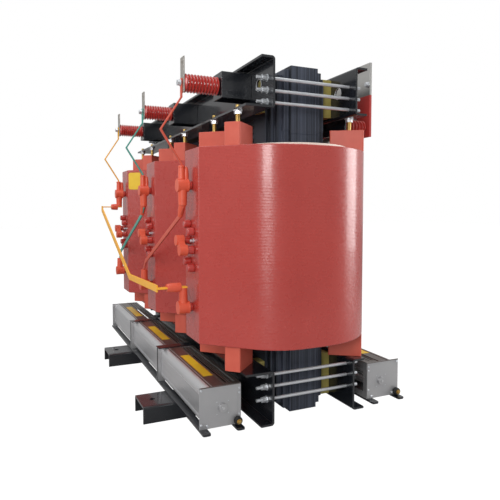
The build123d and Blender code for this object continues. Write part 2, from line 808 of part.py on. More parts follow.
# ---------------------------------------------------------------------------
# Terminal covers: a barrel on the coil with tapered sleeves for the bars
# ---------------------------------------------------------------------------
low_sleeve_z = terminal_z[1] - boss_d / 2 - sleeve_length
up_sleeve_z = terminal_z[0] + boss_d / 2 + sleeve_length
with BuildPart() as covers:
    for x in phases.values():
        for z in terminal_z:
            with BuildSketch(Plane.XZ.offset(hv_face_y + boss_foot)):
                with Locations((x, z)):
                    Circle(boss_d / 2)
            extrude(amount=boss_length - boss_foot, taper=-2)
        # sleeve for the lead above the top terminal
        with BuildSketch(Plane.XY.offset(terminal_z[1])):
            with Locations((x + post_offset, -sleeve_y)):
                Circle(sleeve_d / 2)
        extrude(amount=sleeve_top_z - terminal_z[1], taper=2)
        # sleeve for the link below the top terminal, and above the bottom one
        with BuildSketch(Plane.XY.offset(low_sleeve_z)):
            with Locations((x, -sleeve_y)):
                Circle(sleeve_d / 2 + 2)
        extrude(amount=terminal_z[1] - low_sleeve_z, taper=-2)
        with BuildSketch(Plane.XY.offset(terminal_z[0])):
            with Locations((x, -sleeve_y)):
                Circle(sleeve_d / 2 + 4)
        extrude(amount=up_sleeve_z - terminal_z[0], taper=2)
write("terminal_covers", covers)

# covers over the linked taps
tap_end_y = hv_face_y + tap_length
with BuildPart() as tap_links:
    for x in phases.values():
        ends = [(x + col, heights[linked_tap]) for col, heights in zip(tap_columns, tap_z)]
        with BuildSketch(Plane.XZ.offset(tap_end_y)):
            with Locations(*ends):
                Circle(tap_boot_d / 2)
        extrude(amount=tap_boot_length)
        with BuildSketch(Plane.XZ.offset(tap_end_y + 4)):
            with BuildLine():
                Polyline(*band(ends, tap_boot_d - 10), close=True)
            make_face()
        extrude(amount=tap_boot_length - 8)
write("tap_links", tap_links)

# ---------------------------------------------------------------------------
# Delta links across the terminal faces
# ---------------------------------------------------------------------------
outer_link_y = hv_face_y + outer_link_out
for name, start, end in (
    ("delta_link_ba", phases["b"], phases["a"]),
    ("delta_link_cb", phases["c"], phases["b"]),
):
    path = ((start, low_sleeve_z), (start, low_sleeve_z - 8), (start - 30, low_sleeve_z - 38),
            (end + 34, up_sleeve_z + 44), (end, up_sleeve_z + 8), (end, up_sleeve_z))
    with BuildPart() as link:
        with BuildSketch(Plane.XZ.offset(sleeve_y - link_thick / 2)):
            with BuildLine():
                Polyline(*band(path, link_narrow), close=True)
            make_face()
        extrude(amount=link_thick)
    write(name, link)

path = ((phases["a"], low_sleeve_z + 2), (phases["a"], low_sleeve_z - 20),
        (phases["b"] + outer_link_x, terminal_z[0] + outer_link_up), (phases["c"] - 20, up_sleeve_z + 2), (phases["c"], up_sleeve_z + 2))
with BuildPart() as link:
    with BuildSketch(Plane.XZ.offset(outer_link_y - link_thick)):
        with BuildLine():
            Polyline(*band(path, link_width), close=True)
        make_face()
    extrude(amount=link_thick)
    leg = outer_link_y - sleeve_y + sleeve_d / 2
    for x, z in ((phases["a"], low_sleeve_z - link_thick / 2), (phases["c"], up_sleeve_z + link_thick / 2)):
        with Locations((x, -(outer_link_y - leg / 2), z)):
            Box(link_width, leg, link_thick)
write("delta_link_ac", link)

# ---------------------------------------------------------------------------
# Low-voltage side: upright plates on posts, with leads from the coils
# ---------------------------------------------------------------------------
with BuildPart() as lv_brackets:
    for x in phases.values():
        with Locations((x + lv_bus_offset, lv_bracket_y + lv_bracket_thick / 2, lv_post_z)):
            Box(2 * lv_post_spread + lv_post_d, lv_bracket_thick, lv_post_d)
write("lv_post_brackets", lv_brackets)

with BuildPart() as lv_posts:
    for x in phases.values():
        for sx in (-1, 1):
            foot = (x + lv_bus_offset + sx * lv_post_spread, lv_bracket_y + lv_bracket_thick, lv_post_z)
            with BuildSketch(Plane(origin=foot, x_dir=(1, 0, 0), z_dir=(0, 0, 1))):
                with BuildLine():
                    half = ribbed_section(lv_post_length, lv_post_core_d, lv_post_d, lv_post_ribs)
                    Polyline(*half, close=True)
                make_face()
            revolve(axis=Axis(foot, (0, 1, 0)))
write("lv_posts", lv_posts)

for key, x in phases.items():
    bx = x + lv_bus_offset
    with BuildPart() as bus:
        with Locations((bx, lv_bus_y + lv_bus_thick / 2, (lv_bus_bottom_z + lv_bus_top_z) / 2)):
            Box(lv_bus_width, lv_bus_thick, lv_bus_top_z - lv_bus_bottom_z)
        with BuildSketch(Plane.XZ.offset(-lv_bus_y - lv_bus_thick - 1)):
            hole_z = lv_bus_top_z - lv_bus_hole_top - lv_bus_hole_z / 2
            with Locations((bx, hole_z)):
                with GridLocations(lv_bus_hole_x, lv_bus_hole_z, 2, 2):
                    Circle(lv_bus_hole_d / 2)
        extrude(amount=lv_bus_thick + 2, mode=Mode.SUBTRACT)
    write("lv_bus_" + key, bus)

lv_lead_y = (lv_inner_radius + lv_outer_radius) / 2
lead_in = lv_bus_y - lv_lead_thick / 2
lv_path = (
    (lv_lead_y, coil_top_z),
    (lv_lead_y, coil_top_z + lv_lead_rise),
    (lead_in, lv_bus_bottom_z + lv_lead_up),
    (lead_in, lv_bus_bottom_z + lv_lead_top),
)
with BuildPart() as lv_leads:
    for x in phases.values():
        with BuildSketch(Plane.YZ.offset(x + lv_bus_offset - lv_lead_width / 2)):
            with BuildLine():
                Polyline(*band(lv_path, lv_lead_thick), close=True)
            make_face()
        extrude(amount=lv_lead_width)
write("lv_leads", lv_leads)

# bolts of the upright bars and of the low-voltage plates
with BuildPart() as bolts:
    for x in phases.values():
        face = lead_y + lead_thick / 2
        with BuildSketch(Plane.XZ.offset(face)):
            with Locations((x + post_offset, post_z)):
                Circle(washer_d / 2)
        extrude(amount=washer_thick)
        with BuildSketch(Plane.XZ.offset(face + washer_thick)):
            with Locations((x + post_offset, post_z)):
                RegularPolygon(nut_flats / 2, 6, major_radius=False)
        extrude(amount=nut_height)
        face = lv_bus_y + lv_bus_thick
        places = [(x + lv_bus_offset + sx * lv_post_spread, lv_post_z) for sx in (-1, 1)]
        with BuildSketch(Plane.XZ.offset(-face - washer_thick)):
            with Locations(*places):
                Circle(washer_d / 2)
        extrude(amount=washer_thick)
        with BuildSketch(Plane.XZ.offset(-face - washer_thick - nut_height)):
            with Locations(*places):
                RegularPolygon(nut_flats / 2, 6, major_radius=False)
        extrude(amount=nut_height)
write("terminal_bolts", bolts)
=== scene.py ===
import json
import math

import bpy
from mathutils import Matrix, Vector

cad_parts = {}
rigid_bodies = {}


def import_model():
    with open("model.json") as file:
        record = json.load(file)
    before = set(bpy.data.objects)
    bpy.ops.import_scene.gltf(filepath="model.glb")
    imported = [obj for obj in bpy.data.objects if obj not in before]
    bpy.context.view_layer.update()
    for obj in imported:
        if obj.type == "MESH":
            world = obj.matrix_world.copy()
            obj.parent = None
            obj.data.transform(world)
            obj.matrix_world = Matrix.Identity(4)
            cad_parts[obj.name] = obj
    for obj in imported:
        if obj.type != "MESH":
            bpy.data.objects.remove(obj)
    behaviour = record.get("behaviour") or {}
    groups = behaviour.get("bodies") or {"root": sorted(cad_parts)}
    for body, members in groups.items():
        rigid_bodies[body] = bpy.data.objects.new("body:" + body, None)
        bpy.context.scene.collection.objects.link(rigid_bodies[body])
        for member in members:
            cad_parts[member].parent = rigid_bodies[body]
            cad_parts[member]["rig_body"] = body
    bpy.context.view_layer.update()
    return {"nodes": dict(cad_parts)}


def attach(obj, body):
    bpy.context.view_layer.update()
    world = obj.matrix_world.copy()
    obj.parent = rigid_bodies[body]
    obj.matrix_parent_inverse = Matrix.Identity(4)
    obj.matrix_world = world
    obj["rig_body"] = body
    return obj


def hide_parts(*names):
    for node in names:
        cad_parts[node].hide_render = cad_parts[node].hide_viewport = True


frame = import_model()
scene = bpy.context.scene
BODY = "transformer"

# ---------------------------------------------------------------------------
# Sizes repeated from the solids, in metres
# ---------------------------------------------------------------------------
PITCH = 0.630
PHASES = {"a": -PITCH, "b": 0.0, "c": PITCH}
FACE_Y = -0.405
TERMINAL_Z = (0.480, 0.930)
SLEEVE_X = -0.012                # lead sleeves, from the terminal's axis
SLEEVE_Y = -0.4397
POST_X, POST_Y, POST_LENGTH, POST_Z = -0.012, -0.297, 0.133, 1.303
FAN_NEAR = (0.790, 0.204, -0.382)
FAN_LENGTH = 0.566
FAN_TOP = 0.224
FAN_AXIS_Y, FAN_AXIS_Z = 0.347, 0.144
FOOT_Y = {"hv": 0.292, "lv": 0.419}
FOOT_Z = 0.0915
WEB_OUTER = 0.177
LIFT_X, LIFT_Z = 0.726, 1.296
BUS_LINE = (1.3088, 1.3102)      # masked edge of the plates' enamel


# ---------------------------------------------------------------------------
# Colour and node helpers
# ---------------------------------------------------------------------------
def srgb(code):
    """Hex sRGB to the linear colour that a shader takes."""
    out = []
    for k in (0, 2, 4):
        c = int(code[k:k + 2], 16) / 255
        out.append(c / 12.92 if c <= 0.04045 else ((c + 0.055) / 1.055) ** 2.4)
    return (out[0], out[1], out[2], 1.0)


def add(tree, kind, values=None, links=None, **settings):
    """One shader node with its settings, socket values and links."""
    made = tree.nodes.new(kind)
    for key, value in settings.items():
        setattr(made, key, value)
    for key, value in (values or {}).items():
        made.inputs[key].default_value = value
    for key, source in (links or {}).items():
        tree.links.new(source, made.inputs[key])
    return made


def finish(name, colour, roughness, metallic=0.0, ior=None, coat=0.0, coat_roughness=0.1):
    """A new material with its surface shader; the shader's own sockets hold what is even."""
    mat = bpy.data.materials.new(name)
    mat.use_nodes = True
    tree = mat.node_tree
    shader = tree.nodes["Principled BSDF"]
    shader.inputs["Base Color"].default_value = srgb(colour)
    shader.inputs["Roughness"].default_value = roughness
    shader.inputs["Metallic"].default_value = metallic
    if ior:
        shader.inputs["IOR"].default_value = ior
    shader.inputs["Coat Weight"].default_value = coat
    shader.inputs["Coat Roughness"].default_value = coat_roughness
    mat.diffuse_color = srgb(colour)
    place = add(tree, "ShaderNodeTexCoord").outputs["Object"]
    return mat, tree, shader, place


def mottle(tree, place, scale, low, high, detail=4.0, stretch=(1, 1, 1)):
    """Noise in the given band, on a stretched copy of the piece's own coordinates."""
    moved = add(tree, "ShaderNodeMapping", {"Scale": stretch}, {"Vector": place})
    noise = add(tree, "ShaderNodeTexNoise", {"Scale": scale, "Detail": detail},
                {"Vector": moved.outputs[0]})
    band = add(tree, "ShaderNodeMapRange", {"To Min": low, "To Max": high},
               {"Value": noise.outputs[0]})
    return band.outputs[0]


def two_tone(tree, shader, factor, first, second):
    """The surface colour runs from the first to the second by the factor."""
    mix = add(tree, "ShaderNodeMix", data_type="RGBA")
    tree.links.new(factor, mix.inputs[0])
    mix.inputs[6].default_value = srgb(first)
    mix.inputs[7].default_value = srgb(second)
    tree.links.new(mix.outputs[2], shader.inputs["Base Color"])
    return mix.outputs[2]


def relief(tree, shader, height, strength, distance):
    """Fine relief of the surface, in metres."""
    bump = add(tree, "ShaderNodeBump", {"Strength": strength, "Distance": distance},
               {"Height": height})
    tree.links.new(bump.outputs[0], shader.inputs["Normal"])


# ---------------------------------------------------------------------------
# Finishes
# ---------------------------------------------------------------------------
# Cast epoxy resin of the coils: filled, pigmented brick red, cured in a polished steel
# mould. The eye gets a deep gloss, with faint level lines that the glass mesh
# leaves every few millimetres.
RESIN, tree, shader, place = finish("cast epoxy resin, brick red", "B5403A", 0.27, ior=1.55,
                                    coat=0.35, coat_roughness=0.12)
cloud = mottle(tree, place, 5.0, 0.0, 1.0)
two_tone(tree, shader, cloud, "A5332C", "B5423A")
lines = add(tree, "ShaderNodeTexWave", {"Scale": 62.0, "Distortion": 1.2, "Detail": 2.0,
            "Detail Scale": 1.5}, {"Vector": place}, wave_type="BANDS", bands_direction="Z")
relief(tree, shader, lines.outputs[1], 0.35, 0.0008)
tree.links.new(mottle(tree, place, 30.0, 0.22, 0.34), shader.inputs["Roughness"])

# Moulded glass polyester of the pressing blocks: satin, a little paler and chalky.
BLOCK, tree, shader, place = finish("moulded glass polyester", "C8553F", 0.5, ior=1.52)
two_tone(tree, shader, mottle(tree, place, 28.0, 0.0, 1.0), "C04C3A", "D0604C")
relief(tree, shader, mottle(tree, place, 260.0, 0.0, 1.0), 0.15, 0.0004)

# Soft vinyl of the terminal covers: dipped, orange red, with a waxy gloss.
VINYL, tree, shader, place = finish("dipped vinyl, orange red", "D9553B", 0.36, ior=1.5)
two_tone(tree, shader, mottle(tree, place, 18.0, 0.0, 1.0), "D24E36", "E06346")
relief(tree, shader, mottle(tree, place, 60.0, 0.0, 1.0), 0.2, 0.0006)

# Baked enamel on folded plate: near black, glossy, with slight orange peel.
ENAMEL, tree, shader, place = finish("black enamel", "15171B", 0.24, ior=1.5, coat=0.5,
                                     coat_roughness=0.08)
two_tone(tree, shader, mottle(tree, place, 7.0, 0.0, 1.0), "121418", "1C1F25")
relief(tree, shader, mottle(tree, place, 130.0, 0.0, 1.0), 0.12, 0.0004)

# Electrical steel laminations, cut 0.3 mm thick, edges dipped in slate varnish. They are
# drawn 4 mm thick, the finest that shows: dark and pale edges side by side.
STEEL, tree, shader, place = finish("varnished laminations", "3A3F4B", 0.42, metallic=0.35)
edges = mottle(tree, place, 1.0, 0.0, 1.0, detail=1.0, stretch=(0.6, 240.0, 0.6))
sheets = add(tree, "ShaderNodeMapRange", {"From Min": 0.35, "From Max": 0.65}, {"Value": edges})
two_tone(tree, shader, sheets.outputs[0], "23272F", "4C5260")
relief(tree, shader, edges, 0.5, 0.0012)

# Bright zinc on steel rods, nuts and washers: pale, faintly blue, soft gloss.
ZINC, tree, shader, place = finish("bright zinc plate", "CDD0D4", 0.3, metallic=0.65)
tree.links.new(mottle(tree, place, 90.0, 0.22, 0.42), shader.inputs["Roughness"])
two_tone(tree, shader, mottle(tree, place, 40.0, 0.0, 1.0), "C3C7CC", "DDE0E3")

# Yellow passivated zinc of the studs: brassy, with a rolled thread drawn at 2 mm.
YELLOW_ZINC, tree, shader, place = finish("yellow passivated zinc", "C6A25A", 0.34, metallic=0.85)
two_tone(tree, shader, mottle(tree, place, 60.0, 0.0, 1.0), "B08A48", "D9BC74")
thread = add(tree, "ShaderNodeTexWave", {"Scale": 78.0}, {"Vector": place},
             wave_type="BANDS", bands_direction="Z")
relief(tree, shader, thread.outputs[1], 0.5, 0.0008)

# Glass-epoxy board of the yoke pads: olive yellow, sawn edges.
BOARD, tree, shader, place = finish("glass-epoxy board", "A3974F", 0.55, ior=1.52)
two_tone(tree, shader, mottle(tree, place, 1.0, 0.0, 1.0, stretch=(60, 60, 6)), "948742", "B4A95F")

# Stainless end plates of the fans: rolled and brushed along Z, matt grey.
STAINLESS, tree, shader, place = finish("brushed stainless sheet", "B0B0B1", 0.36, metallic=0.6)
grain = mottle(tree, place, 1.0, 0.3, 0.5, stretch=(40, 700, 14))
tree.links.new(grain, shader.inputs["Roughness"])
two_tone(tree, shader, mottle(tree, place, 9.0, 0.0, 1.0), "A9A9AC", "BEBEBE")

# Bright rolled aluminium of the fan casings: soft streaks along X.
ALUMINIUM, tree, shader, place = finish("bright rolled aluminium", "CFCFD1", 0.28, metallic=0.75)
tree.links.new(mottle(tree, place, 1.0, 0.22, 0.4, stretch=(6, 160, 160)),
               shader.inputs["Roughness"])
two_tone(tree, shader, mottle(tree, place, 1.0, 0.0, 1.0, stretch=(3, 60, 60)),
         "C6C6C9", "DADADA")

# Brown-grey anodised lid of each fan.
LID, tree, shader, place = finish("brown anodised lid", "6C625D", 0.32, metallic=0.7)
two_tone(tree, shader, mottle(tree, place, 1.0, 0.0, 1.0, stretch=(4, 90, 90)), "5E5450", "7A706B")

# Glazed epoxy of the ribbed posts: deep red and wet-looking.
POST_RESIN, tree, shader, place = finish("glossy epoxy, deep red", "B3322C", 0.2, ior=1.55,
                                         coat=0.4, coat_roughness=0.06)
two_tone(tree, shader, mottle(tree, place, 30.0, 0.0, 1.0), "A92C27", "BD3B33")

# Tinned copper: dull silver with warm stains.
TIN, tree, shader, place = finish("tinned copper", "B4B0AA", 0.42, metallic=0.9)
two_tone(tree, shader, mottle(tree, place, 35.0, 0.0, 1.0), "A39C92", "C4C2BE")

# Heat-shrink sleeve on the bars, one colour for each phase, satin.
SLEEVES = {}
for key, name, first, second in (
    ("a", "yellow heat-shrink sleeve", "EDA62A", "F7B93C"),
    ("b", "teal heat-shrink sleeve", "3F9385", "4FA798"),
    ("c", "red heat-shrink sleeve", "C04A36", "D25A43"),
):
    SLEEVES[key], tree, shader, place = finish(name, first, 0.4, ior=1.5)
    two_tone(tree, shader, mottle(tree, place, 40.0, 0.0, 1.0), first, second)
    relief(tree, shader, mottle(tree, place, 120.0, 0.0, 1.0), 0.2, 0.0004)

# Glass-fibre tube between the windings: cream, with its filament wound level.
CREAM, tree, shader, place = finish("filament-wound tube, cream", "E9DFD2", 0.5, ior=1.5)
two_tone(tree, shader, mottle(tree, place, 1.0, 0.0, 1.0, stretch=(12, 12, 160)),
         "E2D6C7", "F3EBE0")

# Foil winding in resin: brown, with level turns of insulation.
FOIL, tree, shader, place = finish("resin-bonded foil winding", "8A5A36", 0.45, ior=1.5)
two_tone(tree, shader, mottle(tree, place, 1.0, 0.0, 1.0, stretch=(8, 8, 90)), "7A4D2D", "9A6A45")

# Low-voltage plates: rolled aluminium, red enamel below a masked line, bare above.
BUS, tree, shader, place = finish("part-enamelled aluminium plate", "B9403A", 0.35, metallic=0.0)
height = add(tree, "ShaderNodeSeparateXYZ", links={"Vector": place}).outputs[2]
edge = add(tree, "ShaderNodeMapRange", {"From Min": BUS_LINE[0], "From Max": BUS_LINE[1]},
           {"Value": height})
colour = two_tone(tree, shader, edge.outputs[0], "B23A36", "BDBCB9")
tree.links.new(edge.outputs[0], shader.inputs["Metallic"])
tree.links.new(mottle(tree, place, 25.0, 0.3, 0.46), shader.inputs["Roughness"])

# Black rubber of the rail ends and black enamel of the motors.
RUBBER, tree, shader, place = finish("black rubber", "1B1B1C", 0.6)
relief(tree, shader, mottle(tree, place, 300.0, 0.0, 1.0), 0.3, 0.0004)

# Plain yellow plastic field, left bare, with red edge lines painted on its own piece.
YELLOW, tree, shader, place = finish("yellow plastic sheet", "E6BE22", 0.4, ior=1.5)
two_tone(tree, shader, mottle(tree, place, 30.0, 0.0, 1.0), "DDB31C", "EDC832")
RED_LINE, tree, shader, place = finish("red ink line", "C23A2C", 0.45, ior=1.5)
two_tone(tree, shader, mottle(tree, place, 50.0, 0.0, 1.0), "BA3427", "CA4233")


# ---------------------------------------------------------------------------
# Modelling helpers
# ---------------------------------------------------------------------------
def clear():
    bpy.ops.object.select_all(action="DESELECT")


def ready(piece, name, mat, body=BODY, angle=32.0):
    """Named, smoothed by angle, in its finish and riding on its body."""
    piece.name = name
    piece.data.name = name
    piece.data.materials.clear()
    piece.data.materials.append(mat)
    clear()
    piece.select_set(True)
    bpy.context.view_layer.objects.active = piece
    bpy.ops.object.shade_smooth_by_angle(angle=math.radians(angle))
    mod = piece.modifiers.new("even normals", "WEIGHTED_NORMAL")
    mod.keep_sharp = True
    bpy.ops.object.modifier_apply(modifier=mod.name)
    piece.select_set(False)
    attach(piece, body)
    return piece


def ease(piece, width, segments=2, angle=35.0):
    """Sharp edges rounded to a small radius."""
    clear()
    piece.select_set(True)
    bpy.context.view_layer.objects.active = piece
    mod = piece.modifiers.new("eased edges", "BEVEL")
    mod.width = width
    mod.segments = segments
    mod.limit_method = "ANGLE"
    mod.angle_limit = math.radians(angle)
    bpy.ops.object.modifier_apply(modifier=mod.name)


def settle():
    """The active piece's place goes into its mesh."""
    bpy.ops.object.transform_apply(location=True, rotation=True, scale=True)


def from_solid(node, mat, width=0.0012, segments=2, angle=35.0, weld=0.00002):
    """A copy of a solid, merged, its flats made whole and its edges eased."""
    source = frame["nodes"][node]
    clear()
    piece = bpy.data.objects.new(node + "_dressed", source.data.copy())
    scene.collection.objects.link(piece)
    piece.select_set(True)
    bpy.context.view_layer.objects.active = piece
    bpy.ops.object.mode_set(mode="EDIT")
    bpy.ops.mesh.select_all(action="SELECT")
    bpy.ops.mesh.remove_doubles(threshold=weld)
    bpy.ops.mesh.dissolve_limited(angle_limit=math.radians(0.8))
    bpy.ops.object.mode_set(mode="OBJECT")
    if width:
        ease(piece, width, segments, angle)
    ready(piece, node + "_dressed", mat, body=source["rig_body"])
    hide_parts(node)
    return piece


def block(name, low, high, mat, width=0.001, body=BODY):
    """A plate or bar from corner to corner, its edges eased."""
    clear()
    low, high = Vector(low), Vector(high)
    bpy.ops.mesh.primitive_cube_add(size=1, location=(low + high) / 2)
    piece = bpy.context.object
    piece.scale = high - low
    settle()
    ease(piece, width, 2)
    return ready(piece, name, mat, body)


def turned(name, foot, axis, steps, mat, body=BODY, sides=40, width=0.0):
    """A round piece drawn out of a disc: each step is (radius, distance along the axis)."""
    clear()
    foot, axis = Vector(foot), Vector(axis).normalized()
    radius, along = steps[0]
    aim = axis.to_track_quat("Z", "Y")
    bpy.ops.mesh.primitive_circle_add(vertices=sides, radius=radius, fill_type="NGON",
                                      location=foot + axis * along, rotation=aim.to_euler())
    piece = bpy.context.object
    settle()
    bpy.ops.object.mode_set(mode="EDIT")
    bpy.ops.mesh.select_all(action="SELECT")
    for wide, far in steps[1:]:
        bpy.ops.mesh.extrude_region_move(
            TRANSFORM_OT_translate={"value": axis * (far - along)})
        if abs(wide - radius) > 1e-9:
            k = wide / radius
            bpy.ops.transform.resize(value=(k, k, k))
        radius, along = wide, far
    bpy.ops.mesh.select_all(action="SELECT")
    bpy.ops.mesh.normals_make_consistent(inside=False)
    bpy.ops.object.mode_set(mode="OBJECT")
    if width:
        ease(piece, width, 2)
    return ready(piece, name, mat, body)


def card(name, centre, wide, tall, thick, turn, mat, corner):
    """A thin upright sheet with rounded corners, turned about Z."""
    clear()
    bpy.ops.mesh.primitive_plane_add(size=1)
    piece = bpy.context.object
    piece.scale = (wide, tall, 1)
    settle()
    bpy.ops.object.mode_set(mode="EDIT")
    bpy.ops.mesh.select_all(action="SELECT")
    bpy.ops.mesh.bevel(offset=corner, segments=5, affect="VERTICES")
    bpy.ops.mesh.extrude_region_move(TRANSFORM_OT_translate={"value": (0, 0, thick)})
    bpy.ops.mesh.select_all(action="SELECT")
    bpy.ops.mesh.normals_make_consistent(inside=False)
    bpy.ops.object.mode_set(mode="OBJECT")
    piece.rotation_euler = (math.radians(90), 0, turn)
    piece.location = centre
    settle()
    return ready(piece, name, mat)


def joined(name, pieces):
    """Several like pieces made one."""
    clear()
    for piece in pieces:
        piece.select_set(True)
    bpy.context.view_layer.objects.active = pieces[0]
    bpy.ops.object.join()
    whole = bpy.context.object
    whole.name = name
    whole.data.name = name
    return whole


# ---------------------------------------------------------------------------
# Camera, lamps, floor
# ---------------------------------------------------------------------------
EYE = Vector((2.4554, -0.9986, 0.8465))
YAW, DIP = math.radians(24.61), math.radians(3.01)
ahead = Vector((-math.cos(YAW) * math.cos(DIP), math.sin(YAW) * math.cos(DIP), -math.sin(DIP)))
lens = bpy.data.cameras.new("camera")
camera = bpy.data.objects.new("camera", lens)
scene.collection.objects.link(camera)
camera.location = EYE
camera.rotation_euler = ahead.to_track_quat("-Z", "Y").to_euler()
lens.sensor_width = 36.0
lens.lens = 37.11
lens.shift_x = -0.0026
lens.shift_y = -0.0293
lens.clip_end = 60.0
scene.camera = camera
scene.view_settings.view_transform = "Standard"

world = bpy.data.worlds.new("studio")
scene.world = world
world.use_nodes = True
tree = world.node_tree
sky = tree.nodes["Background"]
path = add(tree, "ShaderNodeLightPath")
seen = add(tree, "ShaderNodeMath", operation="MAXIMUM")
tree.links.new(path.outputs["Is Camera Ray"], seen.inputs[0])
tree.links.new(path.outputs["Is Transmission Ray"], seen.inputs[1])
bright = add(tree, "ShaderNodeMapRange", {"To Min": 0.52, "To Max": 1.0},
             {"Value": seen.outputs[0]})
sky.inputs[0].default_value = (1, 1, 1, 1)
tree.links.new(bright.outputs[0], sky.inputs[1])


def lamp(name, at, aim, size, power, tall=None):
    """A soft rectangular lamp."""
    data = bpy.data.lights.new(name, "AREA")
    data.shape = "RECTANGLE"
    data.size = size
    data.size_y = tall or size
    data.energy = power
    made = bpy.data.objects.new(name, data)
    scene.collection.objects.link(made)
    made.location = at
    made.rotation_euler = (Vector(aim) - Vector(at)).to_track_quat("-Z", "Y").to_euler()
    return made


lamp("key softbox", (3.41, -2.34, 1.85), (0.886, -0.219, 0.95), 0.95, 62, 1.5)
lamp("rim softbox", (1.35, 2.9, 1.6), (0.86, 0.17, 0.8), 1.3, 60, 2.4)
lamp("left softbox", (-0.6, -4.2, 2.4), (-0.3, 0.0, 0.6), 1.8, 48, 2.0)
lamp("overhead", (0.2, -0.1, 4.2), (0.0, 0.0, 0.0), 3.0, 62)

clear()
bpy.ops.mesh.primitive_plane_add(size=40)
floor = bpy.context.object
floor.name = "floor"
FLOOR, tree, shader, place = finish("pale studio floor", "F4F4F4", 0.9)
path = add(tree, "ShaderNodeLightPath")
glow = add(tree, "ShaderNodeEmission", {"Color": (1, 1, 1, 1), "Strength": 1.12})
tint = add(tree, "ShaderNodeMix", data_type="RGBA")
tree.links.new(path.outputs["Is Camera Ray"], tint.inputs[0])
tint.inputs[6].default_value = (0.38, 0.38, 0.38, 1)
tint.inputs[7].default_value = (0.95, 0.95, 0.95, 1)
tree.links.new(tint.outputs[2], shader.inputs["Base Color"])
part_seen = add(tree, "ShaderNodeMath", {1: 0.90}, operation="MULTIPLY")
tree.links.new(path.outputs["Is Camera Ray"], part_seen.inputs[0])
blend = add(tree, "ShaderNodeMixShader")
tree.links.new(part_seen.outputs[0], blend.inputs[0])
tree.links.new(shader.outputs[0], blend.inputs[1])
tree.links.new(glow.outputs[0], blend.inputs[2])
tree.links.new(blend.outputs[0], tree.nodes["Material Output"].inputs[0])
floor.data.materials.append(FLOOR)

# ---------------------------------------------------------------------------
# Core, windings and blocks
# ---------------------------------------------------------------------------
for key in PHASES:
    from_solid("core_limb_" + key, STEEL, 0.0008, 1)
    from_solid("hv_coil_" + key, RESIN, 0.004, 3, angle=28.0)
    from_solid("barrier_cylinder_" + key, CREAM, 0.001)
    from_solid("lv_coil_" + key, FOIL, 0.002)
from_solid("core_yoke_bottom", STEEL, 0.0008, 1)
from_solid("core_yoke_top", STEEL, 0.0008, 1)
for node in ("upper_blocks", "lower_blocks"):
    from_solid(node, BLOCK, 0.0018)

# ---------------------------------------------------------------------------
# Clamps, beams and fastenings
# ---------------------------------------------------------------------------
for node in ("top_clamp_hv", "top_clamp_lv", "bottom_clamp_hv", "bottom_clamp_lv",
             "base_beam_left", "base_beam_right", "post_brackets", "lv_post_brackets",
             "fan_rails", "fan_frames"):
    from_solid(node, ENAMEL, 0.0012)
from_solid("yoke_pads", BOARD, 0.001)
for node in ("tie_rods", "tie_rod_nuts", "stud_nuts", "base_bolts", "terminal_bolts"):
    from_solid(node, ZINC, 0.0008)
from_solid("pressing_studs", YELLOW_ZINC, 0.0012)

# ---------------------------------------------------------------------------
# Terminals, posts and bars
# ---------------------------------------------------------------------------
from_solid("terminal_covers", VINYL, 0.003, 3)
from_solid("tap_links", VINYL, 0.004, 3)
from_solid("terminal_bars", TIN, 0.0008)
from_solid("lv_leads", TIN, 0.0012)
from_solid("lv_posts", POST_RESIN, 0.0015)
for key in PHASES:
    from_solid("hv_lead_" + key, SLEEVES[key], 0.0015, 3)
    from_solid("lv_bus_" + key, BUS, 0.0008)
from_solid("delta_link_ac", SLEEVES["a"], 0.0015, 3)
from_solid("delta_link_ba", SLEEVES["b"], 0.0015, 3)
from_solid("delta_link_cb", SLEEVES["c"], 0.0015, 3)

# Ribbed posts: rounded ribs on a slim core, one turned piece for each phase
RIB_COUNT = 11
POST_CORE = 0.0245
RIB_STEPS = ((POST_CORE, 0.14), (0.0310, 0.26), (0.0338, 0.40), (0.0340, 0.52), (0.0322, 0.68),
             (0.0262, 0.84))     # radius, share of the rib's pitch
rib_pitch = POST_LENGTH / RIB_COUNT
steps = [(POST_CORE, 0.0)]
for k in range(RIB_COUNT):
    steps += [(radius, k * rib_pitch + share * rib_pitch) for radius, share in RIB_STEPS]
steps.append((POST_CORE, POST_LENGTH))
ribs = []
for key, x in PHASES.items():
    ribs.append(turned("hv_post_" + key, (x + POST_X, POST_Y, POST_Z), (0, -1, 0), steps,
                       POST_RESIN))
posts = joined("hv_posts_ribbed", ribs)
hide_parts("hv_posts")

# ---------------------------------------------------------------------------
# Fans
# ---------------------------------------------------------------------------
for tag in ("hv", "lv"):
    case = from_solid("fan_cases_" + tag, ALUMINIUM, 0.0)
    case.data.materials.append(LID)
    for face in case.data.polygons:
        if face.normal.z > 0.95 and face.center.z > FAN_TOP - 0.003:
            face.material_index = 1
    for k in (1, 2, 3):
        from_solid("fan_rotor_%s_%d" % (tag, k), ALUMINIUM, 0.0)
from_solid("fan_end_plates", STAINLESS, 0.0004, 1)
from_solid("fan_bearings", STAINLESS, 0.001)
from_solid("fan_motors", RUBBER, 0.001)

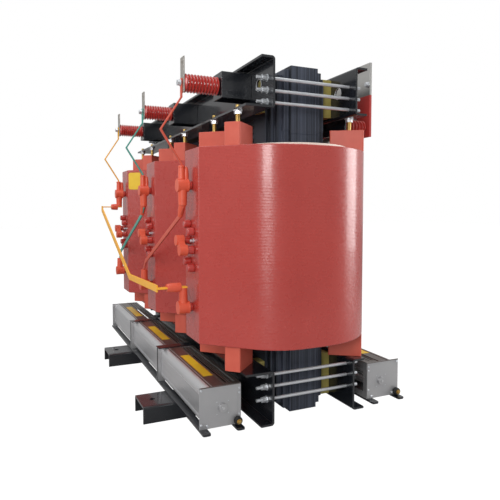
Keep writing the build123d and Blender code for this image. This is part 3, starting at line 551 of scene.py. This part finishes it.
# Details of each fan: folds, a bare yellow field, flange strips, screws and a mounting bolt
for side in (-1, 1):
    tag = "hv" if side < 0 else "lv"
    for i, near in enumerate(FAN_NEAR):
        mark = "_%s_%d" % (tag, i + 1)
        far = near - FAN_LENGTH
        ends = (far + 0.004, near - 0.003)

        def strip(name, y0, y1, z0, z1, mat, x0=ends[0], x1=ends[1], width=0.0004):
            return block(name + mark, (x0, min(side * y0, side * y1), z0),
                         (x1, max(side * y0, side * y1), z1), mat, width)

        strip("fan_lid_fold_a", 0.3795, 0.3815, 0.2235, 0.2252, LID)
        strip("fan_lid_fold_b", 0.3860, 0.3885, 0.2232, 0.2247, ALUMINIUM)
        strip("fan_side_fold_a", 0.4185, 0.4205, 0.1860, 0.1885, ALUMINIUM)
        strip("fan_side_fold_b", 0.4185, 0.4203, 0.1120, 0.1140, ALUMINIUM)
        strip("fan_side_fold_c", 0.4185, 0.4203, 0.1050, 0.1068, ALUMINIUM)
        # outlet lip and bare yellow field with its edge lines
        strip("fan_outlet_lip", 0.3350, 0.3368, 0.2235, 0.2262, LID)
        a, b = near - 0.410, near - 0.118
        strip("fan_field", 0.3390, 0.3780, 0.2238, 0.2246, YELLOW, a, b, 0.0002)
        for line, y in (("a", 0.3402), ("b", 0.3752)):
            strip("fan_field_line_" + line, y, y + 0.0016, 0.2244, 0.22485, RED_LINE,
                  a + 0.004, b - 0.004, 0.0001)
        # guard slats across the air outlet
        for row in range(3):
            y = 0.2960 + 0.0150 * row
            strip("fan_guard_%d" % row, y, y + 0.0095, 0.2205, 0.2222, LID,
                  far + 0.026, near - 0.026)
        # end plate: strip on the inner edge, hem along the top, screws
        strip("fan_plate_strip", 0.2775, 0.2890, 0.0790, 0.2220, STAINLESS, near, near + 0.0018)
        strip("fan_plate_hem", 0.2775, 0.4330, 0.2218, 0.2240, LID, near - 0.001, near + 0.0030)
        screws = []
        for y, z in ((0.2835, 0.206), (0.2835, 0.190), (0.2835, 0.112), (0.427, 0.214),
                     (0.427, 0.092), (0.405, 0.086), (0.300, 0.086)):
            screws.append(turned("screw", (near, side * y, z), (1, 0, 0),
                                 [(0.0042, 0.0), (0.0042, 0.0028), (0.0030, 0.0042)], ZINC,
                                 sides=16))
        for y, z in ((-0.022, 0.022), (0.022, 0.022), (-0.022, -0.022), (0.022, -0.022)):
            screws.append(turned("rivet", (near, side * FAN_AXIS_Y + y, FAN_AXIS_Z + z), (1, 0, 0),
                                 [(0.0022, 0.0), (0.0018, 0.0010)], ZINC, sides=12))
        joined("fan_screws" + mark, screws)
        # rubber foot on the rail with its bolt
        foot_y = side * FOOT_Y[tag]
        turned("fan_foot" + mark, (near + 0.0005, foot_y, FOOT_Z), (1, 0, 0),
               [(0.0120, 0.0), (0.0150, 0.004), (0.0150, 0.016), (0.0125, 0.020)], RUBBER)
        turned("fan_foot_bolt" + mark, (near + 0.0205, foot_y, FOOT_Z), (1, 0, 0),
               [(0.0090, 0.0), (0.0090, 0.0016), (0.0062, 0.0018), (0.0062, 0.0070),
                (0.0040, 0.0080)],
               YELLOW_ZINC, sides=12)

# ---------------------------------------------------------------------------
# Small pieces on the windings and terminals
# ---------------------------------------------------------------------------
from_solid("coil_bosses", POST_RESIN, 0.0040, 3)
for key, x in PHASES.items():
    low_z, top_z = TERMINAL_Z
    # second, shorter sleeve beside the lead's own, closed at its tip
    turned("blind_sleeve_" + key, (x + SLEEVE_X, -0.4215, top_z + 0.012), (0, 0, 1),
           [(0.0095, 0.0), (0.0095, 0.030), (0.0078, 0.048), (0.0050, 0.056), (0.0022, 0.058)],
           VINYL, sides=28)
    # rolled rims at the covers' open ends and mouths
    for z in (low_z, top_z):
        turned("cover_rim_%s_%d" % (key, round(1000 * z)), (x, -0.4180, z), (0, -1, 0),
               [(0.0200, 0.0), (0.0243, 0.0006), (0.0248, 0.0030), (0.0232, 0.0052)], VINYL)
    turned("sleeve_rim_" + key, (x + SLEEVE_X, SLEEVE_Y, 0.9955), (0, 0, 1),
           [(0.0105, 0.0), (0.0128, 0.0012), (0.0128, 0.0050), (0.0105, 0.0066)],
           VINYL, sides=28)
    # white-headed inspection bolt between the right-hand taps
    turned("tap_bolt_" + key, (x + 0.022, FACE_Y, 0.7275), (0, -1, 0),
           [(0.0085, 0.0), (0.0085, 0.0020), (0.0060, 0.0022), (0.0060, 0.0120),
            (0.0040, 0.0145)],
           ZINC, sides=12)
# Tapered boots where the short links leave the top terminals
for key in ("b", "c"):
    x = PHASES[key]
    turned("link_boot_" + key, (x + 0.003, SLEEVE_Y, 0.8680), (-0.034, 0, -0.052),
           [(0.0128, 0.0), (0.0138, 0.010), (0.0118, 0.040), (0.0098, 0.058), (0.0088, 0.062)],
           VINYL, sides=28)
# Boots over the ends of the long link
for key, z, run in (("a", 0.854, 0.034), ("c", 0.556, 0.050)):
    turned("long_link_boot_" + key, (PHASES[key], -0.4500, z), (0, -1, 0),
           [(0.0168, 0.0), (0.0176, 0.004), (0.0168, run * 0.8), (0.0150, run),
            (0.0145, run + 0.002)],
           VINYL, sides=32)

# Bare yellow sheet on the far winding's near flank
along = 0.048 * math.sqrt(0.5)
lift = 0.0002 * math.sqrt(0.5)
card("flank_sheet", (PHASES["a"] + 0.078 + along + lift, FACE_Y + along - lift, 1.002),
     0.080, 0.096, 0.0012, math.radians(45), YELLOW, 0.012)

# Bright rims of the lifting holes and one bolt on each low-voltage plate
for tag, side, depth in (("hv", -1, 0.0004), ("lv", 1, 0.0076)):
    for end, x in (("left", -LIFT_X), ("right", LIFT_X)):
        clear()
        bpy.ops.mesh.primitive_torus_add(
            major_radius=0.0216, minor_radius=0.0012, major_segments=48, minor_segments=10,
            location=(x, side * (WEB_OUTER - depth), LIFT_Z),
            rotation=(math.radians(90), 0, 0))
        rim = bpy.context.object
        settle()
        ready(rim, "lifting_rim_%s_%s" % (tag, end), ZINC)
for key, x in PHASES.items():
    turned("plate_bolt_" + key, (x + 0.072, 0.3300, 1.3530), (0, -1, 0),
           [(0.0120, 0.0), (0.0120, 0.0024), (0.0092, 0.0026), (0.0092, 0.0100), (0.0070, 0.0112)],
           ZINC, sides=24)
